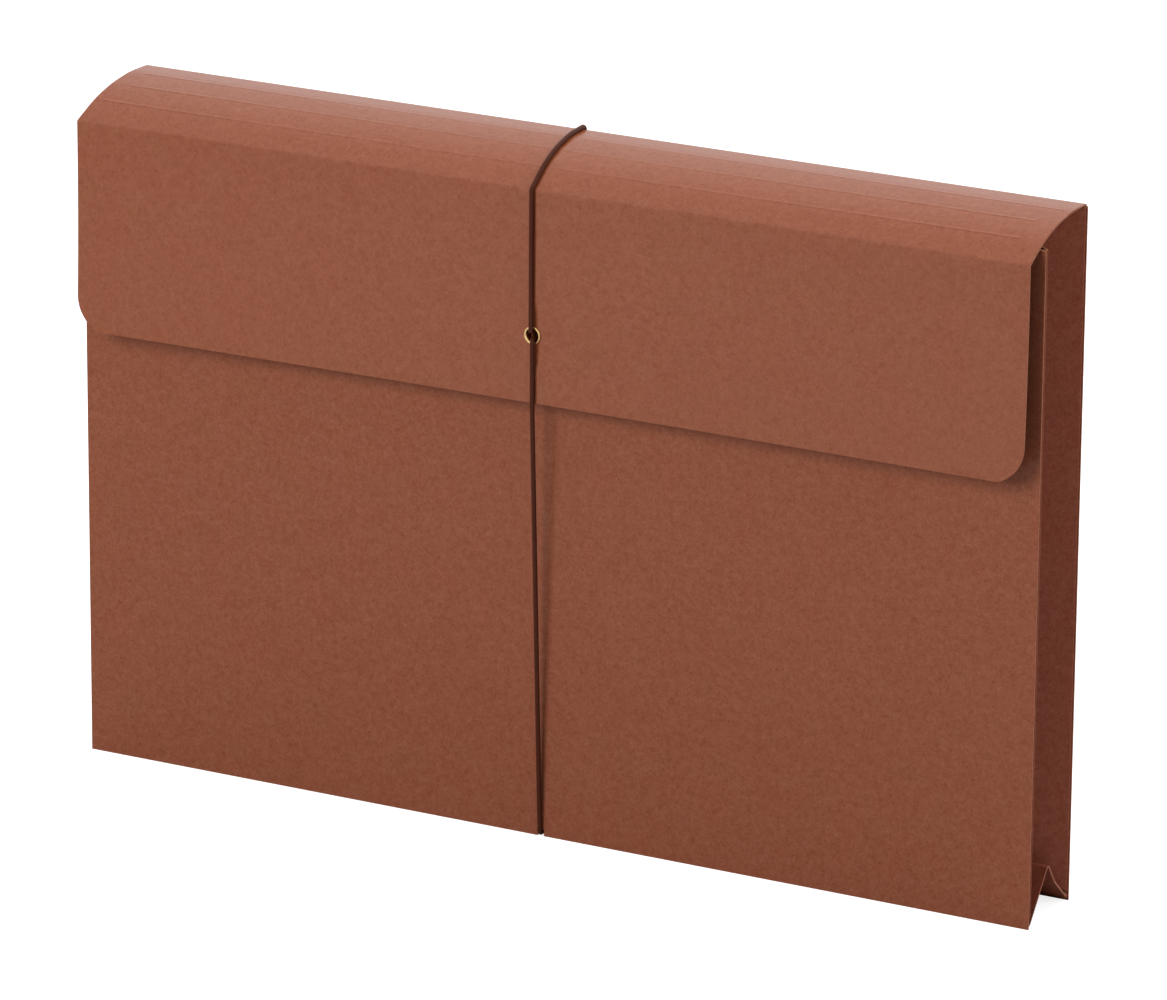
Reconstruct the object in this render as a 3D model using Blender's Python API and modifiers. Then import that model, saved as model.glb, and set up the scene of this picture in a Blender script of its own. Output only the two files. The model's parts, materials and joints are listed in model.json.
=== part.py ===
"""Expanding file wallet: two stiff paper panels joined by folding gussets, a scored flap,
and an elastic cord that loops round the wallet from a brass eyelet in the flap.

Metres, +Z up. The wallet stands on the lower edges of its panels, with the flap on the -Y side.
"""

import math

import bmesh
import bpy
from mathutils import Matrix, Vector

# Panels
WIDTH = 0.381
BACK_HEIGHT = 0.254
DEPTH = 0.034
SHEET = 0.0007
GAP = 0.0003
FRONT_TOP_GAP = 0.001

# Flap: each strip's direction is an angle from straight up towards the front
STRIP_ANGLES = (90.0, 100.0, 109.0, 119.0)
HANGING_ANGLE = 180.0
FLAP_END_INSET = 0.0015
FLAP_STANDOFF = 0.0073
FLAP_DROP = 0.0785
FLAP_CORNER_RADIUS = 0.014
FLAP_CORNER_TURN = 70.0

# Gussets
GUSSET_FOLD = 0.022
CREASE_INSET = 0.0009
BOTTOM_CREASE_RISE = 0.0009
TAB_WIDTH = 0.012
CORNER_SLACK = 0.001

# Eyelet and cord
CORD_DIAMETER = 0.0019
STRAND_GAP = 0.0002
CORD_TURN = 0.0016
CORD_ASIDE = -0.0021
CORD_DRIFT = 0.0024
EYELET_RISE = 0.025
EYELET_WALL = 0.0003
EYELET_RIM = 0.00065
EYELET_FLANGE = 0.0005
KNOT_WIDTH = 0.006
KNOT_THICKNESS = 0.004

# Facets
ARC_STEPS = 8
EYELET_STEPS = 24

# Layers of the folded gussets, counted from a panel's inner face
LAYER = SHEET + GAP
SIDE_AXIS = SHEET + 1.5 * GAP
BOTTOM_AXIS = SIDE_AXIS + LAYER
CREASE_BEAD = SHEET + GAP / 2
INNER_HALF = DEPTH / 2 - SHEET
CREASE_X = WIDTH / 2 - CREASE_INSET

# Flap chain from the back fold to the hanging front
FLAP_WIDTH = WIDTH - 2 * FLAP_END_INSET
STRIP_PITCH = (DEPTH + FLAP_STANDOFF) / sum(math.sin(math.radians(a)) for a in STRIP_ANGLES)
STRIP_START = SHEET / 2 + GAP
BACK_MIDDLE = DEPTH / 2 - SHEET / 2
FLAP_MIDDLE = -(DEPTH / 2 + FLAP_STANDOFF + SHEET / 2)

# Cord and eyelet fits
CORD_RADIUS = CORD_DIAMETER / 2
CORD_FLOOR = GAP + CORD_RADIUS
CORD_LIFT = SHEET / 2 + GAP + CORD_RADIUS
NICK_RADIUS = CORD_RADIUS + GAP
STRAND_OFFSET = (CORD_DIAMETER + STRAND_GAP) / 2
EYELET_BORE = STRAND_OFFSET + CORD_RADIUS + GAP
EYELET_BARREL = EYELET_BORE + EYELET_WALL
EYELET_RADIUS = EYELET_BARREL + EYELET_RIM
EYELET_DOWN = FLAP_DROP - EYELET_RISE

# The object stands centred on the origin, from the cord over the eyelet to the cord down the back
FRONT_REACH = -FLAP_MIDDLE + SHEET / 2 + 2 * GAP + EYELET_FLANGE + CORD_DIAMETER
REAR_REACH = DEPTH / 2 + GAP + CORD_DIAMETER
CENTRE_SHIFT = (FRONT_REACH - REAR_REACH) / 2

UP = Vector((0, 0, 1))
RIGHT = Vector((1, 0, 0))

frames = {}


def opening_angle(reach, fold):
    """The angle from the panel at which a gusset half of this width spans this reach."""
    return math.asin(reach / math.hypot(fold, LAYER)) - math.atan2(LAYER, fold)


def side_fold_and_tilt(bottom_angle):
    """The side gussets lie one layer nearer the panels than the bottom one. Their fold width
    and the tilt that they keep when the wallet is flat make them span the same depth as the
    bottom gusset, both open and flat."""
    low, high = math.radians(0.05), math.radians(40)
    for _ in range(60):
        tilt = (low + high) / 2
        fold = LAYER * (2 - math.cos(tilt)) / math.sin(tilt)
        angle = bottom_angle + tilt
        span = fold * math.sin(angle) + LAYER * math.cos(angle)
        if span > INNER_HALF - SIDE_AXIS:
            low = tilt
        else:
            high = tilt
    return fold, tilt


BOTTOM_ANGLE = opening_angle(INNER_HALF - BOTTOM_AXIS, GUSSET_FOLD)
SIDE_FOLD, SIDE_TILT = side_fold_and_tilt(BOTTOM_ANGLE)
SIDE_ANGLE = BOTTOM_ANGLE + SIDE_TILT


def direction(angle):
    """A strip's direction, from its angle in degrees from straight up towards the front."""
    turn = math.radians(angle)
    return Vector((0, -math.sin(turn), math.cos(turn)))


def crease_points():
    """The flap's crease axes, from the back fold to the front crease."""
    points = [Vector((0, BACK_MIDDLE, BACK_HEIGHT))]
    for angle in STRIP_ANGLES:
        points.append(points[-1] + STRIP_PITCH * direction(angle))
    return points


CREASES = crease_points()


def flap_height(y):
    """The height of the flap's middle surface above a place between back fold and front crease."""
    for start, end in zip(CREASES, CREASES[1:]):
        if end.y <= y <= start.y:
            share = (start.y - y) / (start.y - end.y)
            return start.z + share * (end.z - start.z)
    return CREASES[-1].z


FRONT_HEIGHT = flap_height(-DEPTH / 2) - SHEET - FRONT_TOP_GAP
BACK_TOP = BACK_HEIGHT - STRIP_START


def clear_scene():
    for old in list(bpy.data.objects):
        bpy.data.objects.remove(old, do_unlink=True)


def new_collection(name):
    collection = bpy.data.collections.new(name)
    bpy.context.scene.collection.children.link(collection)
    return collection


def material(name, colour, roughness, metallic=0.0):
    made = bpy.data.materials.new(name)
    made.use_nodes = True
    shader = made.node_tree.nodes["Principled BSDF"]
    shader.inputs["Base Color"].default_value = (*colour, 1.0)
    shader.inputs["Roughness"].default_value = roughness
    shader.inputs["Metallic"].default_value = metallic
    return made


clear_scene()
WALLET = new_collection("expanding_file_wallet")
CUTTERS = new_collection("cutters")

PANEL_PAPER = material("panel_paper", (0.275, 0.085, 0.048), 0.75)
FLAP_PAPER = material("flap_paper", (0.285, 0.090, 0.051), 0.75)
GUSSET_PAPER = material("gusset_paper", (0.200, 0.058, 0.034), 0.80)
ELASTIC = material("elastic", (0.040, 0.018, 0.011), 0.70)
BRASS = material("brass", (0.700, 0.430, 0.100), 0.25, 1.0)


def add_frame(name, parent, origin, along, across):
    """An empty on a joint's axis: local X runs along the sheet, Y along the crease, Z off the sheet."""
    off = along.cross(across)
    world = Matrix((along, across, off)).transposed().to_4x4()
    world.translation = origin
    frames[name] = world
    empty = bpy.data.objects.new(name + "_axis", None)
    empty.empty_display_size = TAB_WIDTH
    WALLET.objects.link(empty)
    if parent:
        empty.parent = bpy.data.objects[parent + "_axis"]
        world = frames[parent].inverted() @ world
    empty.matrix_basis = world
    return empty


def add_piece(obj, frame, paint, offset=(0, 0, 0)):
    """Puts a finished shape in its frame and gives it its material."""
    WALLET.objects.link(obj)
    obj.parent = bpy.data.objects[frame + "_axis"]
    obj.location = offset
    obj.data.materials.append(paint)
    return obj


def extruded(name, outlines, thickness):
    """A flat outline, with holes where it has more than one loop, made this thick."""
    curve = bpy.data.curves.new(name, "CURVE")
    curve.dimensions = "2D"
    curve.fill_mode = "BOTH"
    curve.extrude = thickness / 2
    for outline in outlines:
        spline = curve.splines.new("POLY")
        spline.points.add(len(outline) - 1)
        for point, (x, y) in zip(spline.points, outline):
            point.co = (x, y, 0, 1)
        spline.use_cyclic_u = True
    return bpy.data.objects.new(name, curve)


def arc(centre, radius, start, end, steps=ARC_STEPS):
    """Points on an arc between two angles in degrees."""
    points = []
    for step in range(steps + 1):
        turn = math.radians(start + (end - start) * step / steps)
        points.append((centre[0] + radius * math.cos(turn), centre[1] + radius * math.sin(turn)))
    return points


def as_mesh(curve_object):
    """The same shape as a mesh, so that it can be cut."""
    bpy.context.view_layer.update()
    graph = bpy.context.evaluated_depsgraph_get()
    name = curve_object.name
    mesh = bpy.data.meshes.new_from_object(curve_object.evaluated_get(graph))
    shape = bmesh.new()
    shape.from_mesh(mesh)
    bmesh.ops.remove_doubles(shape, verts=shape.verts, dist=1e-6)
    bmesh.ops.recalc_face_normals(shape, faces=shape.faces)
    shape.to_mesh(mesh)
    shape.free()
    bpy.data.objects.remove(curve_object, do_unlink=True)
    return bpy.data.objects.new(name, mesh)


def box_cutter(name, frame, low, high):
    """A hidden box between two corners of a frame, for a cut."""
    mesh = bpy.data.meshes.new(name)
    shape = bmesh.new()
    bmesh.ops.create_cube(shape, size=1)
    size = Vector(high) - Vector(low)
    bmesh.ops.scale(shape, vec=size, verts=shape.verts)
    bmesh.ops.translate(shape, vec=(Vector(high) + Vector(low)) / 2, verts=shape.verts)
    shape.to_mesh(mesh)
    shape.free()
    cutter = bpy.data.objects.new(name, mesh)
    CUTTERS.objects.link(cutter)
    cutter.parent = bpy.data.objects[frame + "_axis"]
    cutter.hide_render = True
    cutter.display_type = "WIRE"
    return cutter


def cut(obj, cutter):
    modifier = obj.modifiers.new(cutter.name, "BOOLEAN")
    modifier.operation = "DIFFERENCE"
    modifier.object = cutter


def edge_with_nick(half_width):
    """A lower edge from left to right, with the nick that the cord lies in. Points are (up, right)."""
    nick = arc((CORD_FLOOR, CORD_ASIDE), NICK_RADIUS, -90, 90)
    left = CORD_ASIDE - NICK_RADIUS
    right = CORD_ASIDE + NICK_RADIUS
    return [(0, -half_width), (0, left), *nick, (0, right), (0, half_width)]


def add_panels():
    """The back panel carries everything. The front panel turns on its right gusset's front crease."""
    back = [*edge_with_nick(WIDTH / 2)]
    back += [(BACK_TOP, WIDTH / 2), (BACK_TOP, -WIDTH / 2)]
    add_piece(extruded("back_panel", [back], SHEET), "back_panel", PANEL_PAPER)
    front = [*edge_with_nick(WIDTH / 2), (FRONT_HEIGHT, WIDTH / 2), (FRONT_HEIGHT, -WIDTH / 2)]
    to_panel = (0, -CREASE_X, -SIDE_AXIS - SHEET / 2)
    add_piece(extruded("front_panel", [front], SHEET), "front_panel", PANEL_PAPER, to_panel)


def add_tabs(wall, frame, offset, top):
    """The glued tabs on a panel's inner face, mitred where side and bottom meet."""
    mitre = GAP * math.sqrt(2)
    bottom = edge_with_nick(CREASE_X)
    bottom += [(TAB_WIDTH, CREASE_X - TAB_WIDTH), (TAB_WIDTH, TAB_WIDTH - CREASE_X)]
    add_piece(extruded(f"bottom_{wall}_tab", [bottom], SHEET), frame, GUSSET_PAPER, offset)
    inner = CREASE_X - TAB_WIDTH
    for side, sign in (("right", 1), ("left", -1)):
        outline = [
            (mitre, sign * CREASE_X),
            (top, sign * CREASE_X),
            (top, sign * inner),
            (mitre + TAB_WIDTH, sign * inner),
        ]
        add_piece(extruded(f"{side}_{wall}_tab", [outline], SHEET), frame, GUSSET_PAPER, offset)


def add_side_gusset(side, sign):
    """A gusset half on each side of the valley fold. Its lower corner is cut away past the place
    where the flat wallet would press it against the bottom gusset. The rear half's top edge climbs
    from the valley to the back panel's top."""
    start = BOTTOM_CREASE_RISE + CORNER_SLACK
    clear = start + GUSSET_FOLD
    cut_foot = (GAP - GAP / 3) / math.sin(SIDE_TILT)
    half = [(0, start), (cut_foot, clear), (SIDE_FOLD, clear), (SIDE_FOLD, FRONT_HEIGHT)]
    middle = GAP / 2 + SHEET / 2
    rear = extruded(f"{side}_gusset_rear", [[*half, (0, BACK_TOP)]], SHEET)
    add_piece(rear, f"{side}_gusset_rear", GUSSET_PAPER, (0, 0, -sign * middle))
    mirrored = [(SIDE_FOLD - along, height) for along, height in [*half, (0, FRONT_HEIGHT)]]
    front = extruded(f"{side}_gusset_front", [mirrored], SHEET)
    add_piece(front, f"{side}_gusset_front", GUSSET_PAPER, (0, 0, sign * middle))


def bottom_section(mirror):
    """A bottom gusset half seen from its end: a flat sheet with a rolled crease at its panel."""
    meeting = math.degrees(math.asin(GAP / 2 / CREASE_BEAD))
    bead = arc((0, 0), CREASE_BEAD, -meeting, 270)
    section = [(GUSSET_FOLD, -CREASE_BEAD), (GUSSET_FOLD, -GAP / 2), *bead]
    if not mirror:
        return section
    return [(GUSSET_FOLD - along, LAYER + off) for along, off in section]


def add_bottom_gusset():
    """Full-width halves with a ridge fold between them, nicked where the cord passes under."""
    reach = (CORD_FLOOR + NICK_RADIUS - BOTTOM_CREASE_RISE + CREASE_BEAD * math.sin(BOTTOM_ANGLE))
    nick = reach / math.cos(BOTTOM_ANGLE)
    past = 2 * CREASE_BEAD
    for wall, mirror in (("rear", False), ("front", True)):
        name = f"bottom_gusset_{wall}"
        section = extruded(name, [bottom_section(mirror)], 2 * CREASE_X)
        WALLET.objects.link(section)
        half = add_piece(as_mesh(section), name, GUSSET_PAPER)
        half.rotation_euler = (math.pi / 2, 0, 0)
        start, end = (GUSSET_FOLD - nick, GUSSET_FOLD + past) if mirror else (-past, nick)
        low = (start, CORD_ASIDE - NICK_RADIUS, -past)
        high = (end, CORD_ASIDE + NICK_RADIUS, past + LAYER)
        cut(half, box_cutter(f"{name}_nick", name, low, high))


def strip_section(rear_bead):
    """A flap strip seen from its end: flat sheet, with a rounded crease along its front edge."""
    half = SHEET / 2
    section = arc((STRIP_PITCH, 0), half, -90, 90)
    if rear_bead:
        return section + arc((0, 0), half, 90, 270)
    return section + [(STRIP_START, half), (STRIP_START, -half)]


def add_flap_strips():
    for index in range(len(STRIP_ANGLES)):
        name = f"flap_strip_{index + 1}"
        strip = extruded(name, [strip_section(index == 0)], FLAP_WIDTH)
        add_piece(strip, name, FLAP_PAPER).rotation_euler = (math.pi / 2, 0, 0)


def add_flap_front():
    """The hanging part of the flap. Its corner arcs start square with the ends and meet the lower
    edge at an angle, as a corner punch leaves them."""
    half = FLAP_WIDTH / 2
    turn = math.radians(FLAP_CORNER_TURN)
    centre_down = FLAP_DROP - FLAP_CORNER_RADIUS * math.sin(turn)
    centre_out = half - FLAP_CORNER_RADIUS
    right = arc((centre_down, centre_out), FLAP_CORNER_RADIUS, 90, 90 - FLAP_CORNER_TURN)
    left = [(down, -out) for down, out in reversed(right)]
    outline = [(STRIP_START, -half), (STRIP_START, half), *right, *left]
    hole = arc((EYELET_DOWN, CORD_ASIDE), EYELET_BARREL + GAP, 0, 345, EYELET_STEPS - 1)
    add_piece(extruded("flap_front", [outline, hole], SHEET), "flap_front", FLAP_PAPER)


def add_eyelet():
    """A rolled brass eyelet, turned about its bore."""
    face = SHEET / 2 + GAP
    roll = EYELET_FLANGE / 2
    rim = EYELET_RADIUS - roll
    mouth = EYELET_BORE + EYELET_FLANGE
    profile = arc((rim, face + roll), roll, 90, -90)
    profile += [(EYELET_BARREL, face), (EYELET_BARREL, -face)]
    profile += arc((rim, -face - roll), roll, 90, -90)
    profile += arc((mouth, -face), EYELET_FLANGE, 270, 180)
    profile += arc((mouth, face), EYELET_FLANGE, 180, 90)
    mesh = bpy.data.meshes.new("eyelet")
    shape = bmesh.new()
    verts = [shape.verts.new((radius, 0, height)) for radius, height in profile]
    for start, end in zip(verts, verts[1:] + verts[:1]):
        shape.edges.new((start, end))
    shape.to_mesh(mesh)
    shape.free()
    place = (EYELET_DOWN, CORD_ASIDE, 0)
    eyelet = add_piece(bpy.data.objects.new("eyelet", mesh), "flap_front", BRASS, place)
    turn = eyelet.modifiers.new("turn", "SCREW")
    turn.axis = "Z"
    turn.steps = EYELET_STEPS
    turn.render_steps = EYELET_STEPS
    turn.use_merge_vertices = True
    turn.merge_threshold = 1e-6
    turn.use_smooth_shade = True


KNOT_FRONT = SHEET / 2 + 2 * GAP + EYELET_FLANGE


def add_knot():
    """The knot behind the flap that keeps both cord ends from pulling through the eyelet."""
    mesh = bpy.data.meshes.new("cord_knot")
    shape = bmesh.new()
    bmesh.ops.create_uvsphere(shape, u_segments=16, v_segments=10, radius=0.5)
    bmesh.ops.scale(shape, vec=(KNOT_WIDTH, KNOT_WIDTH, KNOT_THICKNESS), verts=shape.verts)
    shape.to_mesh(mesh)
    shape.free()
    mesh.shade_smooth()
    behind = (EYELET_DOWN, CORD_ASIDE, -KNOT_FRONT - KNOT_THICKNESS / 2)
    add_piece(bpy.data.objects.new("cord_knot", mesh), "flap_front", ELASTIC, behind)


def cord_route():
    """The taut cord from the knot up over the flap, down the back, under the wallet and up the
    front to the knot again, as (x, y, z)."""
    eyelet_z = CREASES[-1].z - EYELET_DOWN
    knot_y = FLAP_MIDDLE + KNOT_FRONT - GAP
    over_flap = FLAP_MIDDLE - CORD_LIFT
    over_eyelet = FLAP_MIDDLE - SHEET / 2 - 2 * GAP - EYELET_FLANGE - CORD_RADIUS
    settle = 5 * CORD_DIAMETER
    up_turn = arc((over_eyelet + CORD_TURN, eyelet_z + STRAND_OFFSET + CORD_TURN), CORD_TURN, 270, 180, 5)
    upper = [(knot_y, eyelet_z + STRAND_OFFSET), *up_turn, (over_flap, up_turn[-1][1] + settle)]
    lower = [(y, 2 * eyelet_z - z) for y, z in reversed(upper)]

    upper += arc(CREASES[-1].yz, CORD_LIFT, HANGING_ANGLE, STRIP_ANGLES[-1], 4)
    for index in (3, 2, 1):
        between = (STRIP_ANGLES[index] + STRIP_ANGLES[index - 1]) / 2
        upper += arc(CREASES[index].yz, CORD_LIFT, between, between, 1)[:1]
    over_back = arc(CREASES[0].yz, CORD_LIFT, STRIP_ANGLES[0], 0, 5)

    bottom_z = CORD_FLOOR + CORD_TURN
    back_y = BACK_MIDDLE + CORD_LIFT
    front_y = -DEPTH / 2 - GAP - CORD_RADIUS
    under = arc((back_y - CORD_TURN, bottom_z), CORD_TURN, 0, -90, 5)
    under += arc((front_y + CORD_TURN, bottom_z), CORD_TURN, -90, -180, 5)
    lower_edge = (over_flap, CREASES[-1].z - FLAP_DROP)

    span = CREASES[0].y - CREASES[-1].y
    route = []
    for y, z in upper:
        share = max(0.0, (y - CREASES[-1].y) / span)
        route.append((CORD_ASIDE - CORD_DRIFT * share, y, z))
    route += [(CORD_ASIDE - CORD_DRIFT, y, z) for y, z in over_back]
    route += [(CORD_ASIDE, y, z) for y, z in [*under, lower_edge, *lower]]
    return route


def add_cord():
    curve = bpy.data.curves.new("elastic_cord", "CURVE")
    curve.dimensions = "3D"
    curve.bevel_depth = CORD_RADIUS
    curve.bevel_resolution = 2
    curve.use_fill_caps = True
    route = cord_route()
    spline = curve.splines.new("POLY")
    spline.points.add(len(route) - 1)
    to_local = frames["flap_front"].inverted()
    for point, place in zip(spline.points, route):
        point.co = (*(to_local @ (Vector(place) + Vector((0, CENTRE_SHIFT, 0)))), 1)
    add_piece(bpy.data.objects.new("elastic_cord", curve), "flap_front", ELASTIC)


def add_frames():
    """Every body's frame, on its joint's axis and under the body that carries it."""
    shift = Vector((0, CENTRE_SHIFT, 0))
    add_frame("back_panel", None, Vector((0, BACK_MIDDLE, 0)) + shift, UP, RIGHT)

    side_y = INNER_HALF - SIDE_AXIS
    valley_x = CREASE_X - SIDE_FOLD * math.cos(SIDE_ANGLE) + LAYER * math.sin(SIDE_ANGLE)
    for side, sign in (("right", 1), ("left", -1)):
        inward = Vector((-sign * math.cos(SIDE_ANGLE), -math.sin(SIDE_ANGLE), 0))
        outward = Vector((sign * math.cos(SIDE_ANGLE), -math.sin(SIDE_ANGLE), 0))
        crease = Vector((sign * CREASE_X, side_y, 0)) + shift
        valley = Vector((sign * valley_x, 0, 0)) + shift
        add_frame(f"{side}_gusset_rear", "back_panel", crease, inward, UP)
        add_frame(f"{side}_gusset_front", f"{side}_gusset_rear", valley, outward, UP)
    front_crease = Vector((CREASE_X, -side_y, 0)) + shift
    add_frame("front_panel", "right_gusset_front", front_crease, UP, RIGHT)

    rise = Vector((0, -math.sin(BOTTOM_ANGLE), math.cos(BOTTOM_ANGLE)))
    fall = Vector((0, -math.sin(BOTTOM_ANGLE), -math.cos(BOTTOM_ANGLE)))
    bottom_crease = Vector((0, INNER_HALF - BOTTOM_AXIS, BOTTOM_CREASE_RISE)) + shift
    ridge_z = GUSSET_FOLD * math.cos(BOTTOM_ANGLE) - LAYER * math.sin(BOTTOM_ANGLE)
    ridge = Vector((0, 0, BOTTOM_CREASE_RISE + ridge_z)) + shift
    add_frame("bottom_gusset_rear", "back_panel", bottom_crease, rise, RIGHT)
    add_frame("bottom_gusset_front", "bottom_gusset_rear", ridge, fall, RIGHT)

    carrier = "back_panel"
    for index, angle in enumerate(STRIP_ANGLES):
        name = f"flap_strip_{index + 1}"
        add_frame(name, carrier, CREASES[index] + shift, direction(angle), RIGHT)
        carrier = name
    add_frame("flap_front", carrier, CREASES[-1] + shift, direction(HANGING_ANGLE), RIGHT)


add_frames()
add_panels()
add_tabs("rear", "back_panel", (0, 0, -LAYER), BACK_TOP)
add_tabs("front", "front_panel", (0, -CREASE_X, -SIDE_AXIS + GAP + SHEET / 2), FRONT_HEIGHT)
add_side_gusset("right", 1)
add_side_gusset("left", -1)
add_bottom_gusset()
add_flap_strips()
add_flap_front()
add_eyelet()
add_knot()
add_cord()
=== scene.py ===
"""Looks of the expanding file wallet: continuous folded paper sheets, a covered elastic cord,
a brass eyelet, studio light and the camera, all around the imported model.

Metres, +Z up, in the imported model's own frame.
"""

import json
import math

import bmesh
import bpy
from mathutils import Matrix, Vector


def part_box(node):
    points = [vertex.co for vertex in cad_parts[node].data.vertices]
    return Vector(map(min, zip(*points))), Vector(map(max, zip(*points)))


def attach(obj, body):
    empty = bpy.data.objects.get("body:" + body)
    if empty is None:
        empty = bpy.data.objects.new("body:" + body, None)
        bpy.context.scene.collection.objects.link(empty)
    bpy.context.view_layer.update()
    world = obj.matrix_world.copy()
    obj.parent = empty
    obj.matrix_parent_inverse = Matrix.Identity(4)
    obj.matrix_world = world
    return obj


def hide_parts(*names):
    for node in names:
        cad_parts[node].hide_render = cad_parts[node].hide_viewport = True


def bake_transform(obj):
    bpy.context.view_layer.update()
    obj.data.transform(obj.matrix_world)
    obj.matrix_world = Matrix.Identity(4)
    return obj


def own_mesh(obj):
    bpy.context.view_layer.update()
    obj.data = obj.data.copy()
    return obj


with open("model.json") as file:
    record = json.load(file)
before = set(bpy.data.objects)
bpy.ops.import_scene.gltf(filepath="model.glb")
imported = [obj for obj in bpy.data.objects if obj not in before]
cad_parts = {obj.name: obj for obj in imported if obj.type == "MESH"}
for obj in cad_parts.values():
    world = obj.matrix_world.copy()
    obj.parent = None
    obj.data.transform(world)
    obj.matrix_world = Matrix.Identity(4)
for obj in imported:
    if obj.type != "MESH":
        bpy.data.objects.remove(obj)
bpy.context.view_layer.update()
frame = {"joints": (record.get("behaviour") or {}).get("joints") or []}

# Camera at the photograph's viewing angle
IMAGE_WIDTH = 1167
FOCAL_PIXELS = 7807
SENSOR = 36.0
CAMERA_TURN = math.radians(27.904)
CAMERA_RISE = math.radians(18.072)
CAMERA_ROLL = math.radians(0.423)
CAMERA_DISTANCE = 2.8155
CAMERA_ASIDE = 0.0055
CAMERA_LIFT = 0.1162

# Light: each lamp has its place, the point it aims at, its width and height, and its watts
WORLD_LIGHT = 0.17
FLOOR_TONE = 0.6
FLOOR_GLOW = 0.8
FLOOR_SIZE = 4.0
LAMPS = {
    "key": ((-0.36, -1.28, 0.85), (0.0, 0.0, 0.16), (0.8, 0.8), 15.1),
    "top": ((0.0, 0.75, 1.15), (0.0, 0.0, 0.25), (1.6, 0.6), 17.2),
    "fill": ((1.35, 0.05, 0.98), (0.1, 0.0, 0.1), (0.8, 0.8), 8.0),
}

# Colours, and how much glaze the rollers leave on each paper
FLAP_TONE = (0.276, 0.078, 0.033)
FLAP_GLAZE = 0.95
PANEL_TONE = (0.279, 0.089, 0.047)
PANEL_GLAZE = 0.3
# The gussets' paper is the panels' paper made darker: painted shade for their place deep between the
# panels.
GUSSET_SHADED_TONE = (0.235, 0.067, 0.037)
GUSSET_GLAZE = 0.15
CUT_EDGE_TONE = (0.36, 0.145, 0.09)
ELASTIC_TONE = (0.066, 0.0165, 0.008)
WORN_BRASS = (0.76, 0.47, 0.16)
BRIGHT_BRASS = (0.96, 0.72, 0.36)

# Paper texture: the noise scales of its clouds, mottle, grain and flecks, how far the pale and
# dark grains stand from the sheet's tone and how much they show, and the power that makes such
# a step look even in every channel
CLOUD_SCALE = 70
MOTTLE_SCALE = 420
GRAIN_SCALE = 1050
FLECK_SCALE = 1700
GRAIN_WEIGHT = 1.4
TEXTURE_MIDDLE = 1.2
TEXTURE_REACH = 0.45
BROWN_PULP = (0.99, 1.015, 1.01)
RED_PULP = (1.01, 0.985, 0.99)
PAPER_LIFT = 0.26
PAPER_SINK = 0.175
PALE_SHARE = 0.34
DULL_SHARE = 0.5
FLECK_SHARE = 0.4
EVEN_STEP_POWER = 0.5
GLAZE_ROUGHNESS = 0.2
GLAZE_IOR = 1.45
PAPER_RELIEF = 0.35

# Elastic cover: the yarns of each direction, round the cord and along one diameter of its length
YARNS_ROUND = 8
YARNS_ALONG = 1.5
YARN_RELIEF = 0.5

# Depth of the fine relief on paper and cord
RELIEF_DEPTH = 0.00008

# Flap
FLAP_CORNER_RADIUS = 0.014
FLAP_CORNER_TURN = math.radians(70)
BACK_FOLD_RADIUS = 0.00055
SCORE_BEND_RADIUS = 0.045
FRONT_FOLD_RADIUS = 0.0006
FRONT_FOLD_SAG = 0.0009
FRONT_FOLD_REACH = 0.012
BLEND_REACH = [0.0009, 0.004, 0.004, 0.004, 0.005]

# Scores: raised ridges, lowest at the middle, each with its insets at the flap's left and right
RIDGE_HEIGHT = 0.00016
RIDGE_WIDTH = 0.0005
RIDGE_MIDDLE = 0.45
RIDGE_INSETS = ((0.0056, 0.002), (0.007, 0.0078), (0.003, 0.008))
RIDGE_FADE = 0.0014
RIDGE_END_ZONE = 0.01

# How the flap's sheet sits: its lower ends stand out, and it is askew and narrower by these
FLAP_FLARE = 0.0018
FLAP_SKEW = 0.001
FLAP_NARROWING = 0.0006
FLAP_LEFT_DRAW = 0.0051
LEFT_DRAW_EASE = 0.4

# Panels: the width and height of each one's rounded upper left corner
PANEL_CORNERS = {"front_panel": (0.004, 0.0045), "back_panel": (0.0075, 0.0036)}
PANEL_NICK = 0.0024

# Gussets. REAR_KNEE is the bend of the bottom gusset's rear half: how far behind the ridge, and how high.
GLUE_GAP = 0.0003
TAB_GAP = 0.00005
TAB_WIDTH = 0.012
REAR_EDGE_INSET = 0.0001
REAR_FOLD_RADIUS = 0.00037
REAR_MITRE_FOOT = 0.0036
FRONT_MITRE_FOOT = 0.0036
VALLEY_FOOT = 0.0192
LEFT_TOP_DROP = 0.003
CORNER_STEP = 0.00002
BOTTOM_FOLD_RADIUS = 0.00125
BOTTOM_RIDGE_RADIUS = 0.001
BOTTOM_END_REACH = 0.0006
REAR_FOOT_RISE = 0.0013
REAR_FOOT_RADIUS = 0.0004
REAR_KNEE = (0.0054, 0.0105)
REAR_KNEE_RADIUS = 0.01
NICK_HALF = 0.0013
NICK_HEIGHT = 0.0038

# Cord, eyelet and knot
CORD_RADIUS = 0.00086
CORD_TURN = 0.00145
CORD_DRIFT = 0.0024
CORD_SIDES = 18
STRAND_OFFSET = 0.00135
STRAND_SPLIT = 0.0003
STRAND_LEAN = 0.5
EYELET_RIM = 0.00065
EYELET_FLANGE = 0.0005
EYELET_STEPS = 72
HOLE_STEPS = 48
ROLL_STEPS = 10
KNOT_LOBE = 0.00072
KNOT_DEPTH = 0.0009
KNOT_CORD = 0.0008
KNOT_STEPS = 72

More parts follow.
